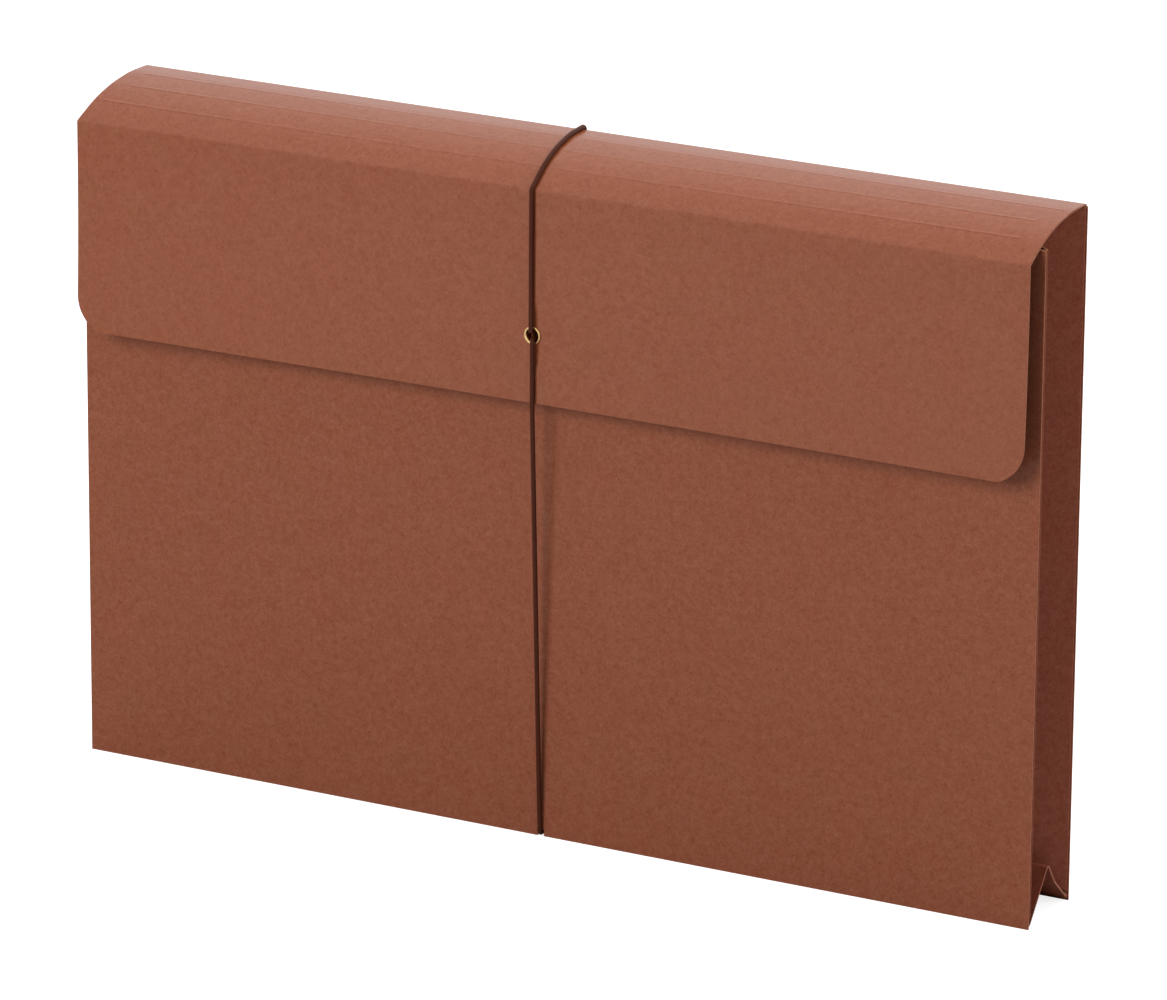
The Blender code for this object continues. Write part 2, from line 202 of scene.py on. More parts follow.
# Mesh steps: along flat sheets, along the cord, round bends and corners in radians, and the least
# one between the flap's rows
FLAT_STEP = 0.004
FLAP_STEP = 0.002
BOTTOM_STEP = 0.0015
HANGING_STEP = 0.006
PANEL_STEP = 0.02
CORD_RUN_STEP = 0.006
CORD_FRONT_STEP = 0.004
CORD_LOWER_STEP = 0.003
CORD_SETTLE_STEP = 0.001
CORD_LOOP_SHARE = 0.03
CORD_TURN_STEPS = 8
BEND_STEP = 0.12
FLAP_CORNER_STEP = 0.09
PANEL_CORNER_STEP = 0.15
LEAST_STEP = 0.00002

# Frame measures that the looks are fitted to
JOINTS = {joint["name"]: Vector(joint["pos_m"]) for joint in frame["joints"]}
FRONT_LOW, FRONT_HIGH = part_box("front_panel")
BACK_LOW, BACK_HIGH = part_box("back_panel")
FLAP_LOW, FLAP_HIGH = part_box("flap_front")
EYELET_LOW, EYELET_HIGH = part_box("eyelet")
PAPER = FRONT_HIGH.y - FRONT_LOW.y
LAYER = PAPER + GLUE_GAP
MIDDLE = Vector((0, JOINTS["right_valley"].y, 0))
BOTTOM_HALF = (JOINTS["bottom_ridge"] - JOINTS["bottom_rear_crease"]).length
CORNER_TOP = JOINTS["bottom_rear_crease"].z + BOTTOM_HALF + 2 * PAPER
FLAP_HALF = FLAP_HIGH.x
EYELET_CENTRE = (EYELET_LOW + EYELET_HIGH) / 2
EYELET_RADIUS = (EYELET_HIGH.z - EYELET_LOW.z) / 2
EYELET_BARREL = EYELET_RADIUS - EYELET_RIM
CORD_LIFT = PAPER / 2 + CORD_RADIUS


def smooth(value):
    """0 below 0, 1 above 1, and an even curve between."""
    value = min(1.0, max(0.0, value))
    return value * value * (3 - 2 * value)


def steps(start, end, spacing):
    """Evenly spread numbers from start to end, no further apart than spacing."""
    count = max(1, math.ceil(abs(end - start) / spacing - 1e-6))
    return [start + (end - start) * n / count for n in range(count + 1)]


class FoldedPath:
    """A sheet seen from its end: straight runs through corners, each rounded to its own radius."""

    def __init__(self, corners, radii):
        self.runs = []
        self.length = 0.0
        self.bends = []
        here = corners[0]
        for before, corner, after, radius in zip(corners, corners[1:], corners[2:], radii):
            back = (before - corner).normalized()
            on = (after - corner).normalized()
            turn = math.pi - back.angle(on)
            trim = radius * math.tan(turn / 2)
            self.add_straight(here, corner + back * trim)
            centre = corner + (back + on).normalized() * (radius / math.cos(turn / 2))
            self.add_bend(centre, corner + back * trim, -back, turn, on)
            here = corner + on * trim
        self.add_straight(here, corners[-1])

    def add_straight(self, start, end):
        tangent = (end - start).normalized()
        self.runs.append((self.length, "straight", start, tangent))
        self.length += (end - start).length

    def add_bend(self, centre, start, tangent, turn, leaving):
        spoke = start - centre
        sign = 1 if tangent.x * leaving.y - tangent.y * leaving.x > 0 else -1
        size = spoke.length * turn
        self.runs.append((self.length, "bend", centre, spoke, tangent, sign))
        self.bends.append(self.length + size / 2)
        self.length += size

    def at(self, along):
        """The point and the direction of travel at this length along the sheet."""
        run = self.runs[0]
        for candidate in self.runs:
            if candidate[0] <= along + 1e-9:
                run = candidate
        if run[1] == "straight":
            return run[2] + run[3] * (along - run[0]), run[3]
        turned = Matrix.Rotation(run[5] * (along - run[0]) / run[3].length, 2)
        return run[2] + turned @ run[3], turned @ run[4]

    def stations(self, start, end, flat=FLAT_STEP):
        """Lengths along the sheet from start to end, closer together round the bends."""
        found = {start, end}
        for n, run in enumerate(self.runs):
            stop = self.runs[n + 1][0] if n + 1 < len(self.runs) else self.length
            low, high = max(start, run[0]), min(end, stop)
            if high - low > 1e-7:
                spacing = flat if run[1] == "straight" else min(flat / 4, run[3].length * BEND_STEP)
                found.update(steps(low, high, spacing))
        kept = []
        for along in sorted(found):
            if not kept or along - kept[-1] > 2e-6:
                kept.append(along)
        return kept


def meet(point, direction, other, other_direction):
    """Where two straight lines in a plane cross."""
    cross = direction.x * other_direction.y - direction.y * other_direction.x
    apart = other - point
    share = (apart.x * other_direction.y - apart.y * other_direction.x) / cross
    return point + direction * share


def finish_mesh(name, verts, faces, rims, materials, sharp=40):
    """A closed mesh object from corner points and faces. Rim faces take the second material."""
    mesh = bpy.data.meshes.new(name)
    shape = bmesh.new()
    corners = [shape.verts.new(vert) for vert in verts]
    for loop in faces:
        shape.faces.new([corners[n] for n in loop]).smooth = True
    for loop in rims:
        rim = shape.faces.new([corners[n] for n in loop])
        rim.smooth = True
        rim.material_index = 1
    loose = [vert for vert in shape.verts if not vert.link_faces]
    bmesh.ops.delete(shape, geom=loose, context="VERTS")
    bmesh.ops.recalc_face_normals(shape, faces=shape.faces)
    shape.to_mesh(mesh)
    shape.free()
    mesh.set_sharp_from_angle(angle=math.radians(sharp))
    for material in materials:
        mesh.materials.append(material)
    obj = bpy.data.objects.new(name, mesh)
    bpy.context.scene.collection.objects.link(obj)
    return obj


def sheet(name, rows, columns, place, materials, keep=None):
    """A paper sheet of even thickness over a grid. place gives each grid point's middle and
    normal, and keep says which cells are there."""
    verts = []
    for row in rows:
        for column in columns:
            point, normal = place(row, column)
            verts += [point + normal * PAPER / 2, point - normal * PAPER / 2]
    wide = len(columns)
    cells = set()
    for i in range(len(rows) - 1):
        for j in range(wide - 1):
            centre = ((rows[i] + rows[i + 1]) / 2, (columns[j] + columns[j + 1]) / 2)
            if keep is None or keep(*centre):
                cells.add((i, j))
    faces, rims = [], []
    for i, j in cells:
        loop = [i * wide + j, (i + 1) * wide + j, (i + 1) * wide + j + 1, i * wide + j + 1]
        faces.append([2 * n for n in loop])
        faces.append([2 * n + 1 for n in reversed(loop)])
        sides = (((i, j - 1), 0), ((i + 1, j), 1), ((i, j + 1), 2), ((i - 1, j), 3))
        for neighbour, side in sides:
            if neighbour not in cells:
                a, b = loop[side], loop[(side + 1) % 4]
                rims.append([2 * a, 2 * a + 1, 2 * b + 1, 2 * b])
    return finish_mesh(name, verts, faces, rims, materials)


def either_side(path, bend, reach):
    """The points of a folded sheet just before and just after a crease."""
    return [path.at(max(0.0, along))[0] for along in (bend - reach, bend + reach)]


def nicked_columns(half):
    """Where the cord's nick starts and ends, and grid columns from end to end that take it in, all
    as shares of the half width."""
    nick = [(EYELET_CENTRE.x - NICK_HALF) / half, (EYELET_CENTRE.x + NICK_HALF) / half]
    return nick, [*steps(-1.0, -0.05, 0.1), *nick, *steps(0.05, 1.0, 0.1)]


def new_material(name):
    """A new material with its nodes, links and main shader."""
    material = bpy.data.materials.new(name)
    material.use_nodes = True
    nodes = material.node_tree.nodes
    return material, nodes, material.node_tree.links, nodes["Principled BSDF"]


def noise(nodes, links, vector, scale, detail, roughness, distortion=0.0):
    node = nodes.new("ShaderNodeTexNoise")
    node.inputs["Scale"].default_value = scale
    node.inputs["Detail"].default_value = detail
    node.inputs["Roughness"].default_value = roughness
    node.inputs["Distortion"].default_value = distortion
    links.new(vector, node.inputs["Vector"])
    return node.outputs[0]


def math_node(nodes, links, operation, *inputs):
    """A sum or another operation on numbers and other nodes' outputs."""
    node = nodes.new("ShaderNodeMath")
    node.operation = operation
    for socket, value in zip(node.inputs, inputs):
        if isinstance(value, (int, float)):
            socket.default_value = value
        else:
            links.new(value, socket)
    return node.outputs[0]


def spread(nodes, links, value, low, high, to_low, to_high):
    """Maps a value's range to another."""
    node = nodes.new("ShaderNodeMapRange")
    for socket, number in zip(node.inputs[1:5], (low, high, to_low, to_high)):
        socket.default_value = number
    links.new(value, node.inputs[0])
    return node.outputs[0]


def blend_colours(nodes, links, factor, first, second):
    """A mix of two colours, each fixed or from another node."""
    node = nodes.new("ShaderNodeMix")
    node.data_type = "RGBA"
    links.new(factor, node.inputs[0])
    for socket, colour in ((node.inputs[6], first), (node.inputs[7], second)):
        if isinstance(colour, tuple):
            socket.default_value = (*colour, 1.0)
        else:
            links.new(colour, socket)
    return node.outputs[2]


def shade(colour, factor):
    return tuple(channel * factor for channel in colour)


def tinted(colour, factors):
    return tuple(channel * factor for channel, factor in zip(colour, factors))


def lifted(colour, step):
    """A colour that looks lighter, or darker, by the same step in red, green and blue."""
    return tuple(channel + step * channel ** EVEN_STEP_POWER for channel in colour)


def add_relief(nodes, links, shader, height, strength):
    """Fine relief that is too small to model."""
    bump = nodes.new("ShaderNodeBump")
    bump.inputs["Strength"].default_value = strength
    bump.inputs["Distance"].default_value = RELIEF_DEPTH
    links.new(height, bump.inputs["Height"])
    links.new(bump.outputs["Normal"], shader.inputs["Normal"])


def paper(name, tone, glaze):
    """Stiff red-brown fibre paper: faint clouds of redder and browner pulp, fine felted grain, dark
    flecks, and a thin glaze from the rollers that shows at a flat angle."""
    material, nodes, links, shader = new_material(name)
    place = nodes.new("ShaderNodeTexCoord").outputs["Object"]
    cloud = noise(nodes, links, place, CLOUD_SCALE, 3, 0.55)
    mottle = noise(nodes, links, place, MOTTLE_SCALE, 3, 0.55, 0.4)
    grain = noise(nodes, links, place, GRAIN_SCALE, 3, 0.6, 0.8)
    fleck = noise(nodes, links, place, FLECK_SCALE, 2, 0.5)
    redness = spread(nodes, links, cloud, 0.36, 0.64, 0, 1)
    pulp = blend_colours(nodes, links, redness, tinted(tone, BROWN_PULP), tinted(tone, RED_PULP))
    texture = math_node(nodes, links, "MULTIPLY_ADD", grain, GRAIN_WEIGHT, mottle)
    pale = spread(nodes, links, texture, TEXTURE_MIDDLE, TEXTURE_MIDDLE + TEXTURE_REACH, 0, PALE_SHARE)
    dull = spread(nodes, links, texture, TEXTURE_MIDDLE, TEXTURE_MIDDLE - TEXTURE_REACH, 0, DULL_SHARE)
    dark = spread(nodes, links, fleck, 0.6, 0.74, 0, FLECK_SHARE)
    lit = blend_colours(nodes, links, pale, pulp, lifted(tone, PAPER_LIFT))
    sunk = blend_colours(nodes, links, dull, lit, lifted(tone, -PAPER_SINK))
    colour = blend_colours(nodes, links, dark, sunk, lifted(tone, -PAPER_SINK))
    links.new(colour, shader.inputs["Base Color"])
    links.new(spread(nodes, links, grain, 0.3, 0.7, 0.5, 0.7), shader.inputs["Roughness"])
    shader.inputs["Specular IOR Level"].default_value = 0.0
    shader.inputs["Coat Weight"].default_value = glaze
    shader.inputs["Coat Roughness"].default_value = GLAZE_ROUGHNESS
    shader.inputs["Coat IOR"].default_value = GLAZE_IOR
    add_relief(nodes, links, shader, texture, PAPER_RELIEF)
    return material


def braided(name, tone):
    """Covered elastic: crossing diagonal yarns round the cord."""
    material, nodes, links, shader = new_material(name)
    uv = nodes.new("ShaderNodeUVMap")
    uv.uv_map = "cord"
    split = nodes.new("ShaderNodeSeparateXYZ")
    links.new(uv.outputs["UV"], split.inputs[0])
    around = math_node(nodes, links, "MULTIPLY", split.outputs[0], 2 * math.pi * YARNS_ROUND)
    yarns = []
    for sign in (1, -1):
        rise = sign * 2 * math.pi * YARNS_ALONG
        phase = math_node(nodes, links, "MULTIPLY_ADD", split.outputs[1], rise, around)
        yarns.append(math_node(nodes, links, "SINE", phase))
    weave = math_node(nodes, links, "MAXIMUM", *yarns)
    level = spread(nodes, links, weave, -0.6, 1.0, 0, 1)
    colour = blend_colours(nodes, links, level, shade(tone, 0.45), shade(tone, 1.35))
    links.new(colour, shader.inputs["Base Color"])
    shader.inputs["Roughness"].default_value = 0.4
    shader.inputs["Specular IOR Level"].default_value = 0.12
    add_relief(nodes, links, shader, level, YARN_RELIEF)
    return material


def brass(name):
    """Pressed brass with fine handling marks."""
    material, nodes, links, shader = new_material(name)
    place = nodes.new("ShaderNodeTexCoord").outputs["Object"]
    wear = noise(nodes, links, place, 900, 4, 0.6)
    tint = blend_colours(nodes, links, wear, WORN_BRASS, BRIGHT_BRASS)
    links.new(tint, shader.inputs["Base Color"])
    shader.inputs["Metallic"].default_value = 1.0
    links.new(spread(nodes, links, wear, 0.3, 0.7, 0.16, 0.32), shader.inputs["Roughness"])
    return material


FLAP_PAPER = paper("flap_paper_looks", FLAP_TONE, FLAP_GLAZE)
PANEL_PAPER = paper("panel_paper_looks", PANEL_TONE, PANEL_GLAZE)
# The gussets' material takes the darker tone: painted shade on the same paper as the panels.
GUSSET_SHADED_PAPER = paper("gusset_shaded_paper_looks", GUSSET_SHADED_TONE, GUSSET_GLAZE)
CUT_EDGE = paper("cut_edge_looks", CUT_EDGE_TONE, 0.0)
ELASTIC = braided("elastic_looks", ELASTIC_TONE)
BRASS = brass("brass_looks")

# Flap: one sheet from the back panel's top edge to the flap's lower edge
FLAP_CREASES = [JOINTS["flap_open"]]
FLAP_CREASES += [JOINTS[f"flap_score_{n}"] for n in (1, 2, 3)]
FLAP_CREASES.append(JOINTS["flap_front_crease"])
flap_corners = [Vector((BACK_HIGH.y - PAPER / 2, BACK_HIGH.z))]
flap_corners += [crease.yz for crease in FLAP_CREASES]
flap_corners[-1].y -= FRONT_FOLD_SAG
flap_corners.append(Vector((FLAP_CREASES[-1].y, FLAP_LOW.z)))
FLAP_PATH = FoldedPath(flap_corners, [BACK_FOLD_RADIUS, *[SCORE_BEND_RADIUS] * 3, FRONT_FOLD_RADIUS])
FLAP_BENDS = FLAP_PATH.bends
FLAP_CUTS = [0.0]
FLAP_CUTS += [(a + b) / 2 for a, b in zip(FLAP_BENDS, FLAP_BENDS[1:])]
FLAP_CUTS.append(FLAP_BENDS[-1] + FRONT_FOLD_REACH)
FLAP_NAMES = ["flap_back_fold", "flap_bend_1", "flap_bend_2", "flap_bend_3", "flap_front_fold"]


def flap_side(along):
    """The flap's middle and outward normal at this length, in the plane across the creases."""
    point, travel = FLAP_PATH.at(along)
    return point, Vector((travel.y, -travel.x))


def flap_place(along, x):
    """A point of the flap's top. The scores stand up as ridges, each with its own end insets, and
    the sheet sits a little askew: it narrows to the front, and at the back its left end draws in."""
    point, normal = flap_side(along)
    height = RIDGE_HEIGHT * (RIDGE_MIDDLE + (1 - RIDGE_MIDDLE) * (x / FLAP_HALF) ** 2)
    forward = min(1.0, along / FLAP_BENDS[-1])
    rise = 0.0
    for score, (left, right) in zip(FLAP_BENDS[1:4], RIDGE_INSETS):
        inside = min(FLAP_HALF + x - left, FLAP_HALF - x - right)
        rise += height * smooth(inside / RIDGE_FADE) * math.exp(-(((along - score) / RIDGE_WIDTH) ** 2))
    point = point + normal * rise
    behind = 1 - forward
    if x > 0:
        draw = -FLAP_SKEW * behind
    else:
        draw = FLAP_LEFT_DRAW * behind * (1 + LEFT_DRAW_EASE * forward)
    moved = x * (1 - (FLAP_NARROWING * forward + draw) / FLAP_HALF)
    return Vector((moved, point.x, point.y)), Vector((0, normal.x, normal.y))


def flap_columns():
    """Grid columns from end to end, close together where the ridges fade out."""
    inner = FLAP_HALF - RIDGE_END_ZONE
    right = steps(inner, FLAP_HALF, RIDGE_FADE / 3)[1:]
    return [-x for x in reversed(right)] + steps(-inner, inner, PANEL_STEP) + right


def flap_rows(start, end):
    """Grid rows along the flap, close together over the ridges."""
    rows = set(FLAP_PATH.stations(start, end, FLAP_STEP))
    for score in FLAP_BENDS[1:4]:
        for n in range(-9, 10):
            along = score + n * RIDGE_WIDTH / 4
            if start < along < end:
                rows.add(along)
    kept = [start]
    for along in sorted(rows):
        if along - kept[-1] > LEAST_STEP and end - along > LEAST_STEP:
            kept.append(along)
    return kept + [end]


def blend_at(obj, n):
    """Bakes a piece's place into its mesh. The points either side of the flap's crease of this number are
    worked out, but nothing uses them.
    """
    before, after = [(0, *point) for point in either_side(FLAP_PATH, FLAP_BENDS[n], BLEND_REACH[n])]
    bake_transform(obj)


def add_flap():
    """The flap's top, a piece for each crease."""
    columns = flap_columns()
    for n, name in enumerate(FLAP_NAMES):
        rows = flap_rows(FLAP_CUTS[n], FLAP_CUTS[n + 1])
        piece = sheet(name, rows, columns, flap_place, [FLAP_PAPER, CUT_EDGE])
        blend_at(piece, n)
        if n:
            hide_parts(f"flap_strip_{n}")


def add_flap_front():
    """The hanging part, with punched corners and the eyelet's hole."""
    end = FLAP_PATH.length
    corner_rise = FLAP_CORNER_RADIUS * math.sin(FLAP_CORNER_TURN)
    rows = steps(FLAP_CUTS[-1], end - corner_rise, HANGING_STEP)
    for angle in steps(0, FLAP_CORNER_TURN, FLAP_CORNER_STEP)[1:]:
        rows.append(end - corner_rise + FLAP_CORNER_RADIUS * math.sin(angle))

    def half_width(along):
        past = max(0.0, along - (end - corner_rise)) / FLAP_CORNER_RADIUS
        curve = 1 - math.sqrt(max(0.0, 1 - past * past))
        return FLAP_HALF - FLAP_NARROWING - FLAP_CORNER_RADIUS * curve

    def place(along, across):
        point, normal = flap_side(along)
        hang = (along - FLAP_CUTS[-1]) / (end - FLAP_CUTS[-1])
        point = point + normal * FLAP_FLARE * hang * hang * across * across
        return Vector((across * half_width(along), point.x, point.y)), Vector((0, normal.x, normal.y))

    piece = sheet("flap_hang", rows, steps(-1, 1, 0.05), place, [FLAP_PAPER, CUT_EDGE])
    cut_round_hole(piece, EYELET_CENTRE, EYELET_BARREL + GLUE_GAP)
    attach(piece, "flap_front")
    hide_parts("flap_front", "flap_strip_4")


def cut_round_hole(obj, centre, radius):
    """Cuts a round hole through a sheet that faces along Y."""
    mesh = bpy.data.meshes.new("hole")
    shape = bmesh.new()
    turned = Matrix.Translation(centre) @ Matrix.Rotation(math.pi / 2, 4, "X")
    bmesh.ops.create_cone(
        shape,
        cap_ends=True,
        segments=HOLE_STEPS,
        radius1=radius,
        radius2=radius,
        depth=8 * PAPER,
        matrix=turned,
    )
    shape.to_mesh(mesh)
    shape.free()
    cutter = bpy.data.objects.new("hole", mesh)
    bpy.context.scene.collection.objects.link(cutter)
    hole = obj.modifiers.new("hole", "BOOLEAN")
    hole.object = cutter
    bpy.context.view_layer.update()
    cut = bpy.data.meshes.new_from_object(obj.evaluated_get(bpy.context.evaluated_depsgraph_get()))
    obj.modifiers.clear()
    obj.data = cut
    bpy.data.objects.remove(cutter, do_unlink=True)


def fold_angle(crease, fold):
    """The angle between a panel and its gusset half, and the half's width, from the two creases."""
    span = fold - crease
    width = math.sqrt(span.length_squared - LAYER * LAYER)
    return width, math.atan2(LAYER, width)


def side_path(sign):
    """A side gusset from above: rear tab, rear half, front half, front tab, as (x, y)."""
    rear = JOINTS["gusset_fold"].xy
    front = JOINTS["right_front_crease"].xy
    valley = JOINTS["right_valley"].xy
    width, lean = fold_angle(rear, valley)
    inward = Matrix.Rotation(-lean, 2) @ (valley - rear).normalized()
    off = (valley - rear - inward * width) / 2
    front_tab = front - Vector((0, LAYER / 2))
    second = meet(rear + off, inward, valley, Vector((1, 0)))
    third = meet(front_tab, Vector((1, 0)), front + Vector((off.x, -off.y)), Vector((inward.x, -inward.y)))
    rear_tab = Vector((rear.x, BACK_LOW.y - TAB_GAP - PAPER / 2))
    first = Vector((BACK_HIGH.x, rear_tab.y))
    slope = (second - first).normalized()
    halfway = (slope + Vector((-1, 0))).normalized()
    outermost = REAR_FOLD_RADIUS * (1 + halfway.x / math.sin(slope.angle(Vector((-1, 0))) / 2))
    first.x -= REAR_EDGE_INSET + PAPER / 2 + outermost
    corners = [rear_tab - Vector((TAB_WIDTH, 0)), first, second, third, front_tab - Vector((TAB_WIDTH, 0))]
    corners = [Vector((sign * corner.x, corner.y)) for corner in corners]
    return FoldedPath(corners, [REAR_FOLD_RADIUS, LAYER / 2, LAYER / 2])


def add_side_gusset(side, sign):
    """A side gusset in pieces, and its loose lower corners as pieces that ride with the gusset's halves."""
    path = side_path(sign)
    rear_bend, valley, front_bend = path.bends
    inner = (rear_bend + 1.5 * LAYER, front_bend - 1.5 * LAYER)

    def edges_at(along):
        """The gusset's lower and upper edge: mitred to the bottom gusset, and at the rear rising to
        the back panel's top."""
        behind = along < valley
        bend = rear_bend if behind else front_bend
        foot = REAR_MITRE_FOOT if behind else FRONT_MITRE_FOOT
        top = BACK_HIGH.z if behind else FRONT_HIGH.z
        into = min(1.0, max(0.0, (along - bend) / (valley - bend)))
        drop = LEFT_TOP_DROP if sign < 0 else 0.0
        return foot + (VALLEY_FOOT - foot) * into, top + (FRONT_HIGH.z - top) * into - drop

    def place_between(along, low, top, share):
        point, travel = path.at(along)
        return Vector((point.x, point.y, low + (top - low) * share)), Vector((travel.y, -travel.x, 0))

    def place(along, share):
        """A point of the sheet above its loose lower corners."""
        low, top = edges_at(along)
        if inner[0] < along < inner[1]:
            low = CORNER_TOP
        return place_between(along, low, top, share)

    def place_corner(along, share):
        return place_between(along, edges_at(along)[0], CORNER_TOP, share)

    def add_sheet(label, start, end):
        rows = path.stations(start, end)
        for along in (inner[0], inner[0] + CORNER_STEP, inner[1] - CORNER_STEP, inner[1]):
            if start < along < end:
                rows.append(along)
        piece = sheet(label, sorted(rows), steps(0, 1, 0.1), place, [GUSSET_SHADED_PAPER, CUT_EDGE])
        return piece

    cuts = [0.0, (rear_bend + valley) / 2, (valley + front_bend) / 2, path.length]
    bodies = ["back_panel", f"{side}_gusset_rear", f"{side}_gusset_front", "front_panel"]
    stands_for = [
        (f"{side}_rear_tab", f"{side}_gusset_rear"),
        (f"{side}_gusset_front",),
        (f"{side}_front_tab",),
    ]
    for n, part in enumerate(("back", "valley", "face")):
        name = f"{side}_gusset_{part}"
        if sign < 0 and part == "face":
            face = add_sheet(name, cuts[n], front_bend)
            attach(face, bodies[n])
            piece = add_sheet(f"{side}_gusset_margin", front_bend, cuts[n + 1])
            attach(piece, bodies[n + 1])
        else:
            piece = add_sheet(name, cuts[n], cuts[n + 1])
            before, after = [(*point, 0) for point in either_side(path, path.bends[n], LAYER)]
            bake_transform(piece)
        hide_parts(*stands_for[n])

    for half, start, end in (("rear", inner[0], valley), ("front", valley, inner[1])):
        name = f"{side}_corner_{half}"
        rows = path.stations(start, end)
        corner = sheet(name, rows, steps(0, 1, 0.2), place_corner, [GUSSET_SHADED_PAPER, CUT_EDGE])
        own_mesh(corner)
        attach(corner, f"{side}_gusset_{half}")


def bottom_path():
    """The bottom gusset from its end: rear tab, rear half, front half, front tab, as (y, z)."""
    rear = JOINTS["bottom_rear_crease"].yz
    ridge = JOINTS["bottom_ridge"].yz
    width, lean = fold_angle(rear, ridge)
    rise = Matrix.Rotation(-lean, 2) @ (ridge - rear).normalized()
    off = (ridge - rear - rise * width) / 2
    tab_y = BACK_LOW.y - GLUE_GAP - PAPER / 2
    first = meet(Vector((tab_y, 0)), Vector((0, 1)), rear + off, rise)
    second = meet(rear + off, rise, ridge, Vector((0, 1)))
    corners = [
        Vector((tab_y, TAB_WIDTH)),
        Vector((tab_y, REAR_FOOT_RISE)),
        Vector((ridge.x + REAR_KNEE[0], REAR_KNEE[1])),
        second,
        Vector((2 * ridge.x - first.x, first.y)),
        Vector((2 * ridge.x - tab_y, TAB_WIDTH)),
    ]
    radii = [REAR_FOOT_RADIUS, REAR_KNEE_RADIUS, BOTTOM_RIDGE_RADIUS, BOTTOM_FOLD_RADIUS]
    return FoldedPath(corners, radii)


def add_bottom_gusset():
    """The bottom gusset in pieces that part at the front."""
    path = bottom_path()
    rear_bend, _, ridge, front_bend = path.bends
    half = JOINTS["gusset_fold"].x

    def end_at(along):
        """The tabs are mitred to the side tabs; the halves run the full width, at the rear out to
        the back panel's end."""
        point, _ = path.at(along)
        on_tab = along < rear_bend or along > front_bend
        reach = BOTTOM_END_REACH * max(0.0, min(1.0, (front_bend - along) / (front_bend - rear_bend)))
        return half + reach - (max(0.0, point.y - 2 * BOTTOM_FOLD_RADIUS) if on_tab else 0.0)

    def place(along, share):
        point, travel = path.at(along)
        normal = Vector((travel.y, -travel.x))
        return Vector((share * end_at(along), point.x, point.y)), Vector((0, normal.x, normal.y))

    def outside_nick(along, share):
        point, _ = path.at(along)
        return point.y > NICK_HEIGHT or abs(share * half - EYELET_CENTRE.x) > NICK_HALF

    _, columns = nicked_columns(half)
    cuts = [0.0, (rear_bend + ridge) / 2, (ridge + front_bend) / 2, front_bend, path.length]
    pieces = []
    for n, part in enumerate(("back", "ridge", "face", "margin")):
        rows = path.stations(cuts[n], cuts[n + 1], BOTTOM_STEP)
        name = f"bottom_gusset_{part}"
        # The face's and margin's cut edges take the gussets' darker paper instead of the light cut edge:
        # painted shade.
        rim = CUT_EDGE if n < 2 else GUSSET_SHADED_PAPER
        piece = sheet(name, rows, columns, place, [GUSSET_SHADED_PAPER, rim], outside_nick)
        pieces.append(piece)
    back, top, face, margin = pieces
    before, after = [(0, *point) for point in either_side(path, rear_bend, 2 * LAYER)]
    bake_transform(back)
    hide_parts("bottom_rear_tab", "bottom_gusset_rear")
    before, after = [(0, *point) for point in either_side(path, ridge, LAYER)]
    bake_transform(top)
    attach(face, "bottom_gusset_front")
    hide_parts("bottom_gusset_front")
    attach(margin, "front_panel")
    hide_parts("bottom_front_tab")


def turned_piece(name, profile, centre, material):
    """A ring turned about an axis along Y from a closed profile of (radius, depth)."""
    verts, faces = [], []
    count = len(profile)
    for step in range(EYELET_STEPS):
        angle = 2 * math.pi * step / EYELET_STEPS
        for radius, depth in profile:
            verts.append(centre + Vector((radius * math.cos(angle), depth, radius * math.sin(angle))))
    for step in range(EYELET_STEPS):
        after = (step + 1) % EYELET_STEPS
        for n in range(count):
            m = (n + 1) % count
            faces.append([step * count + n, step * count + m, after * count + m, after * count + n])
    return finish_mesh(name, verts, faces, [], [material], sharp=60)


def arc(centre, radius, start, end, count):
    """Points on an arc between two angles in degrees."""
    points = []
    for angle in steps(math.radians(start), math.radians(end), math.radians(abs(end - start)) / count):
        points.append((centre[0] + radius * math.cos(angle), centre[1] + radius * math.sin(angle)))
    return points


def add_eyelet():
    """A rolled rim in front, a barrel through the flap and a flatter curl behind it."""
    face = PAPER / 2 + GLUE_GAP / 2
    roll = EYELET_FLANGE / 2 + GLUE_GAP / 4
    rim = EYELET_RADIUS - roll
    bore = EYELET_BARREL - GLUE_GAP
    mouth = bore + 2 * roll
    profile = arc((rim, -face - roll), roll, -90, 90, ROLL_STEPS)
    profile += [(EYELET_BARREL, -face), (EYELET_BARREL, face)]
    profile += arc((rim, face + roll), roll, -90, 90, ROLL_STEPS)
    profile += arc((mouth, face), 2 * roll, 90, 180, ROLL_STEPS)
    profile += arc((mouth, -face), 2 * roll, 180, 270, ROLL_STEPS)
    piece = turned_piece("eyelet_ring", profile, EYELET_CENTRE, BRASS)
    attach(piece, "flap_front")
    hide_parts("eyelet")


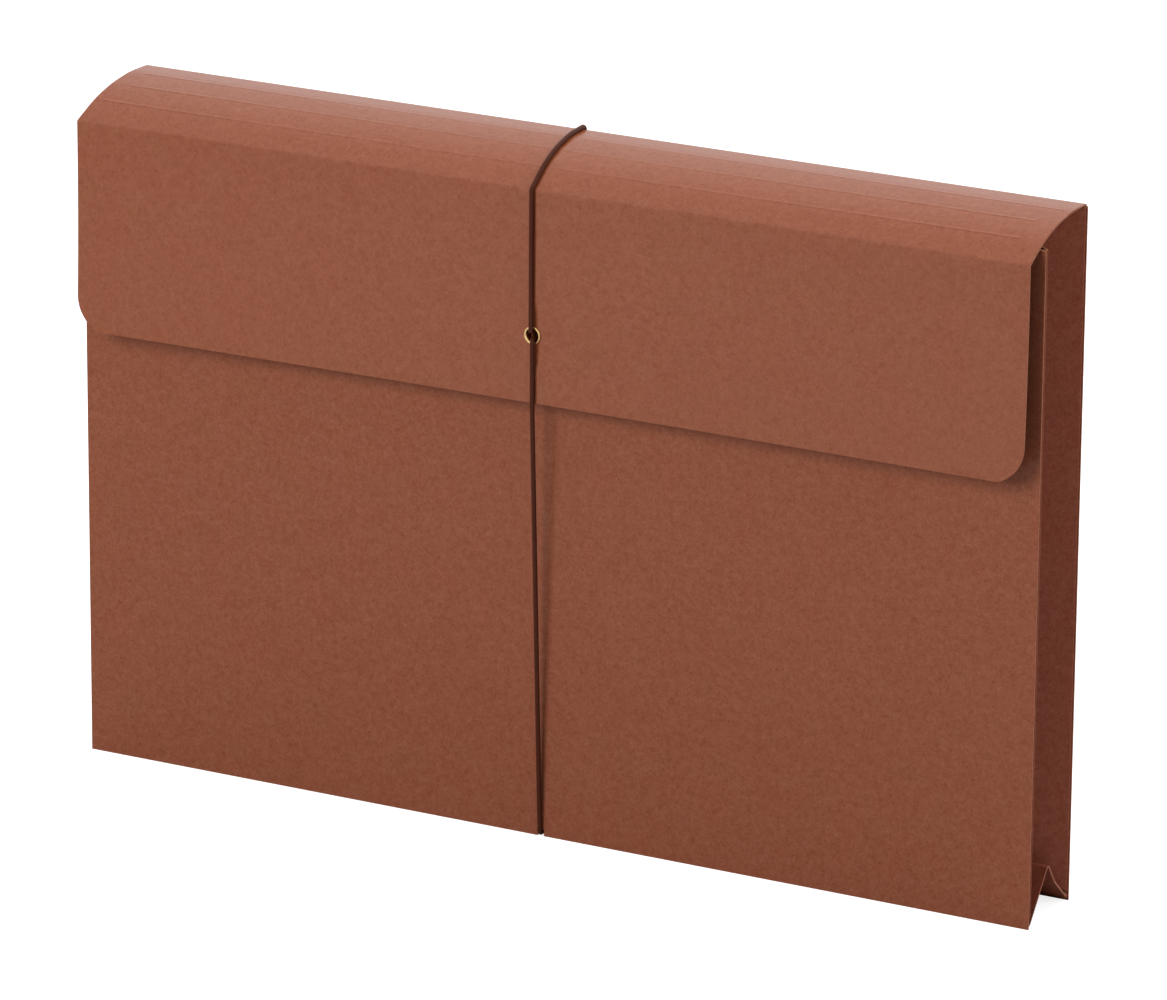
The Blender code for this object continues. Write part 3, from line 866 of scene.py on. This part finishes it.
def tube(name, points, travels, lengths):
    """A cord piece along points, with its directions of travel and lengths along the whole cord."""
    verts, faces = [], []
    for point, travel in zip(points, travels):
        side = (Vector((1, 0, 0)) - travel * travel.x).normalized()
        up = travel.cross(side)
        for n in range(CORD_SIDES):
            angle = 2 * math.pi * n / CORD_SIDES
            verts.append(point + (side * math.cos(angle) + up * math.sin(angle)) * CORD_RADIUS)
    for ring in range(len(points) - 1):
        for n in range(CORD_SIDES):
            m = (n + 1) % CORD_SIDES
            base, top = ring * CORD_SIDES, (ring + 1) * CORD_SIDES
            faces.append([base + n, base + m, top + m, top + n])
    last = (len(points) - 1) * CORD_SIDES
    faces.append([n for n in range(CORD_SIDES)])
    faces.append([last + n for n in range(CORD_SIDES)])
    piece = finish_mesh(name, verts, faces, [], [ELASTIC], sharp=70)
    layer = piece.data.uv_layers.new(name="cord")
    for polygon in piece.data.polygons:
        turns = [piece.data.loops[n].vertex_index % CORD_SIDES for n in polygon.loop_indices]
        wraps = max(turns) - min(turns) > CORD_SIDES / 2
        for n, turn in zip(polygon.loop_indices, turns):
            ring = piece.data.loops[n].vertex_index // CORD_SIDES
            u = (turn + CORD_SIDES if wraps and turn < CORD_SIDES / 2 else turn) / CORD_SIDES
            layer.data[n].uv = (u, lengths[ring] / (2 * CORD_RADIUS))
    return piece


def cord_route():
    """The cord's middle line from the knot over the flap, round the wallet and back to the knot,
    with the places where its pieces part."""
    points, parts = [], []
    middle_x = EYELET_CENTRE.x
    up_x = middle_x - STRAND_SPLIT
    down_x = middle_x + STRAND_SPLIT
    knot_y = FLAP_CREASES[-1].y + PAPER / 2 + EYELET_FLANGE
    over_flap = FLAP_CREASES[-1].y - CORD_LIFT
    over_eyelet = EYELET_LOW.y - CORD_RADIUS
    eye_z = EYELET_CENTRE.z
    turn_centre = (over_eyelet + CORD_TURN, eye_z + STRAND_OFFSET + CORD_TURN)
    upper = [(knot_y, eye_z + STRAND_OFFSET)]
    upper += arc(turn_centre, CORD_TURN, 270, 180, CORD_TURN_STEPS)
    settle = upper[-1][1] + 10 * CORD_RADIUS
    for z in steps(upper[-1][1], settle, CORD_SETTLE_STEP)[1:]:
        share = smooth((z - upper[-1][1]) / (settle - upper[-1][1]))
        upper.append((over_eyelet + (over_flap - over_eyelet) * share, z))
    lower = [(y, 2 * eye_z - z) for y, z in reversed(upper)]

    def lean(y):
        """How far a strand leans to the right where it stands out over the eyelet's rim."""
        return max(0.0, over_flap - y) * STRAND_LEAN

    points += [Vector((up_x + lean(y), y, z)) for y, z in upper]
    fold_end = FLAP_PATH.at(FLAP_CUTS[-1])[0].y
    front_run = steps(settle, fold_end, CORD_FRONT_STEP)[1:-1]
    points += [Vector((up_x, over_flap, z)) for z in front_run]

    span = FLAP_CREASES[0].y - FLAP_CREASES[-1].y
    for n in reversed(range(len(FLAP_NAMES))):
        parts.append(len(points))
        rows = FLAP_PATH.stations(FLAP_CUTS[n], FLAP_CUTS[n + 1], FLAP_STEP)
        for along in reversed(rows if n == 0 else rows[1:]):
            point, normal = flap_side(along)
            place = point + normal * CORD_LIFT
            share = max(0.0, min(1.0, (place.x - FLAP_CREASES[-1].y) / span))
            points.append(Vector((up_x - CORD_DRIFT * share, place.x, place.y)))
    back_y = BACK_HIGH.y + CORD_RADIUS
    parts.append(len(points) - 1)
    knot_low = eye_z - 3 * CORD_RADIUS
    low_z = GLUE_GAP + CORD_RADIUS
    straight = back_y - CORD_TURN
    run_top = BACK_HIGH.z

    def slant(z):
        share = (z - low_z) / (run_top - low_z)
        return middle_x + (up_x - CORD_DRIFT - middle_x) * share

    points += [Vector((slant(z), back_y, z)) for z in steps(run_top, knot_low, CORD_RUN_STEP)[1:]]
    parts.append(len(points) - 1)
    low_run = steps(knot_low, low_z + CORD_TURN, CORD_RUN_STEP)[1:-1]
    points += [Vector((slant(z), back_y, z)) for z in low_run]
    front_y = FRONT_LOW.y - CORD_RADIUS
    under = arc((straight, low_z + CORD_TURN), CORD_TURN, 0, -90, CORD_TURN_STEPS)
    under += arc((front_y + CORD_TURN, low_z + CORD_TURN), CORD_TURN, -90, -180, CORD_TURN_STEPS)
    points += [Vector((middle_x, y, z)) for y, z in under]
    foot = points[-1]
    edge = Vector((down_x, over_flap, FLAP_LOW.z))
    for share in steps(0, 1, CORD_LOOP_SHARE)[1:]:
        points.append(foot.lerp(edge, share))
    parts.append(len(points) - 1)
    lower_run = steps(FLAP_LOW.z, lower[0][1], CORD_LOWER_STEP)[1:-1]
    points += [Vector((down_x, over_flap, z)) for z in lower_run]
    points += [Vector((down_x + lean(y), y, z)) for y, z in lower]
    return points, parts


def add_cord():
    """Pieces of one cord: those on the flap, the run down the back, which rides with the back panel, and
    the loop below, which rides with the flap's front."""
    points, parts = cord_route()
    travels, lengths = [], [0.0]
    for n, point in enumerate(points):
        before, after = points[max(0, n - 1)], points[min(len(points) - 1, n + 1)]
        travels.append((after - before).normalized())
        if n:
            lengths.append(lengths[-1] + (point - points[n - 1]).length)
    cuts = [0, *parts, len(points) - 1]
    names = ["cord_upper", "cord_front_fold", "cord_bend_3", "cord_bend_2", "cord_bend_1", "cord_back_fold"]
    names += ["cord_back_run", "cord_loop", "cord_lower"]
    made = {}
    for n, name in enumerate(names):
        span = slice(cuts[n], cuts[n + 1] + 1)
        made[name] = tube(name, points[span], travels[span], lengths[span])
    for n, name in enumerate(reversed(names[1:6])):
        blend_at(made[name], n)
    run, loop = made["cord_back_run"], made["cord_loop"]
    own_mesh(run)
    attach(run, "back_panel")
    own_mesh(loop)
    for name in ("cord_upper", "cord_loop", "cord_lower"):
        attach(made[name], "flap_front")
    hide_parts("elastic_cord")


def add_knot():
    """An overhand knot pulled tight behind the eyelet."""
    centre = EYELET_CENTRE + Vector((0, PAPER / 2 + EYELET_FLANGE + KNOT_DEPTH + KNOT_CORD, 0))
    points = []
    for step in range(KNOT_STEPS):
        t = 2 * math.pi * step / KNOT_STEPS
        x = (math.sin(t) + 2 * math.sin(2 * t)) * KNOT_LOBE
        z = (math.cos(t) - 2 * math.cos(2 * t)) * KNOT_LOBE
        points.append(centre + Vector((x, -math.sin(3 * t) * KNOT_DEPTH, z)))
    curve = bpy.data.curves.new("knot_curve", "CURVE")
    curve.dimensions = "3D"
    curve.bevel_depth = KNOT_CORD
    curve.bevel_resolution = 4
    spline = curve.splines.new("POLY")
    spline.points.add(KNOT_STEPS - 1)
    for point, place in zip(spline.points, points):
        point.co = (*place, 1)
    spline.use_cyclic_u = True
    made = bpy.data.objects.new("knot_curve", curve)
    bpy.context.scene.collection.objects.link(made)
    bpy.context.view_layer.update()
    mesh = bpy.data.meshes.new_from_object(made.evaluated_get(bpy.context.evaluated_depsgraph_get()))
    bpy.data.objects.remove(made, do_unlink=True)
    mesh.materials.clear()
    mesh.materials.append(ELASTIC)
    mesh.shade_smooth()
    mesh.uv_layers.new(name="cord")
    knot = bpy.data.objects.new("knot", mesh)
    bpy.context.scene.collection.objects.link(knot)
    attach(knot, "flap_front")
    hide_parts("cord_knot")


def add_panel(name):
    """A stiff sheet with a rounded upper left corner and the cord's nick in its lower edge."""
    low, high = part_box(name)
    half = high.x
    corner_width, corner_height = PANEL_CORNERS[name]
    straight = high.z - corner_height
    rows = [low.z, low.z + PANEL_NICK]
    rows += steps(low.z + PANEL_NICK, straight, PANEL_STEP)[1:]
    for angle in steps(0, math.pi / 2, PANEL_CORNER_STEP)[1:]:
        rows.append(straight + corner_height * math.sin(angle))
    nick, columns = nicked_columns(half)

    def place(z, across):
        past = max(0.0, z - straight) / corner_height
        inset = corner_width * (1 - math.sqrt(max(0.0, 1 - past * past)))
        x = across * (half - inset) if across < 0 else across * half
        return Vector((x, (low.y + high.y) / 2, z)), Vector((0, -1, 0))

    def outside_nick(z, across):
        return z > low.z + PANEL_NICK or not nick[0] < across < nick[1]

    label = name.replace("panel", "sheet")
    piece = sheet(label, rows, columns, place, [PANEL_PAPER, CUT_EDGE], outside_nick)
    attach(piece, name)
    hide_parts(name)


def add_camera():
    """A camera turned about the wallet's middle, moved aside and up in its own picture."""
    turn = Matrix.Rotation(CAMERA_TURN, 3, "Z") @ Matrix.Rotation(-CAMERA_RISE, 3, "X")
    turn = turn @ Matrix.Rotation(-CAMERA_ROLL, 3, "Y")
    right, forward, up = turn.col[0], turn.col[1], turn.col[2]
    place = MIDDLE + right * CAMERA_ASIDE + up * CAMERA_LIFT - forward * CAMERA_DISTANCE
    data = bpy.data.cameras.new("camera")
    data.sensor_width = SENSOR
    data.lens = SENSOR * FOCAL_PIXELS / IMAGE_WIDTH
    camera = bpy.data.objects.new("camera", data)
    facing = turn @ Matrix.Rotation(math.pi / 2, 3, "X")
    camera.matrix_world = Matrix.Translation(place) @ facing.to_4x4()
    bpy.context.scene.collection.objects.link(camera)
    bpy.context.scene.camera = camera


def seen_directly(nodes, links):
    """1 for rays from the camera, from gloss and through glass, and 0 for diffuse light."""
    path = nodes.new("ShaderNodeLightPath").outputs
    found = math_node(nodes, links, "MAXIMUM", path["Is Camera Ray"], path["Is Glossy Ray"])
    return math_node(nodes, links, "MAXIMUM", found, path["Is Transmission Ray"])


def add_world():
    """White where it is seen, and a low even light on the wallet."""
    world = bpy.data.worlds.new("studio")
    bpy.context.scene.world = world
    world.use_nodes = True
    nodes, links = world.node_tree.nodes, world.node_tree.links
    background = nodes["Background"]
    background.inputs["Color"].default_value = (1, 1, 1, 1)
    flag = seen_directly(nodes, links)
    strength = math_node(nodes, links, "MULTIPLY_ADD", flag, 1 - WORLD_LIGHT, WORLD_LIGHT)
    links.new(strength, background.inputs["Strength"])


def add_floor():
    """A pale floor that is white to the camera but for the wallet's shadow."""
    mesh = bpy.data.meshes.new("floor")
    shape = bmesh.new()
    bmesh.ops.create_grid(shape, x_segments=1, y_segments=1, size=FLOOR_SIZE / 2)
    shape.to_mesh(mesh)
    shape.free()
    material, nodes, links, shader = new_material("floor_looks")
    shader.inputs["Base Color"].default_value = (FLOOR_TONE, FLOOR_TONE, FLOOR_TONE, 1)
    shader.inputs["Roughness"].default_value = 0.9
    shader.inputs["Specular IOR Level"].default_value = 0.0
    shader.inputs["Emission Color"].default_value = (1, 1, 1, 1)
    flag = nodes.new("ShaderNodeLightPath").outputs["Is Camera Ray"]
    links.new(math_node(nodes, links, "MULTIPLY", flag, FLOOR_GLOW), shader.inputs["Emission Strength"])
    mesh.materials.append(material)
    floor = bpy.data.objects.new("floor", mesh)
    bpy.context.scene.collection.objects.link(floor)


def add_lamp(name, place, aim, size, power):
    """A soft box. Gloss shows the white surroundings in its place."""
    data = bpy.data.lights.new(name, "AREA")
    data.shape = "RECTANGLE"
    data.size, data.size_y = size
    data.energy = power
    lamp = bpy.data.objects.new(name, data)
    lamp.location = place
    lamp.visible_glossy = False
    lamp.rotation_euler = (Vector(aim) - Vector(place)).to_track_quat("-Z", "Y").to_euler()
    bpy.context.scene.collection.objects.link(lamp)


add_camera()
add_world()
add_floor()
for lamp_name, lamp_values in LAMPS.items():
    add_lamp(lamp_name, *lamp_values)
for panel in PANEL_CORNERS:
    add_panel(panel)
add_flap()
add_flap_front()
add_side_gusset("right", 1)
add_side_gusset("left", -1)
add_bottom_gusset()
add_eyelet()
add_cord()
add_knot()

scene = bpy.context.scene
scene.view_settings.view_transform = "Standard"
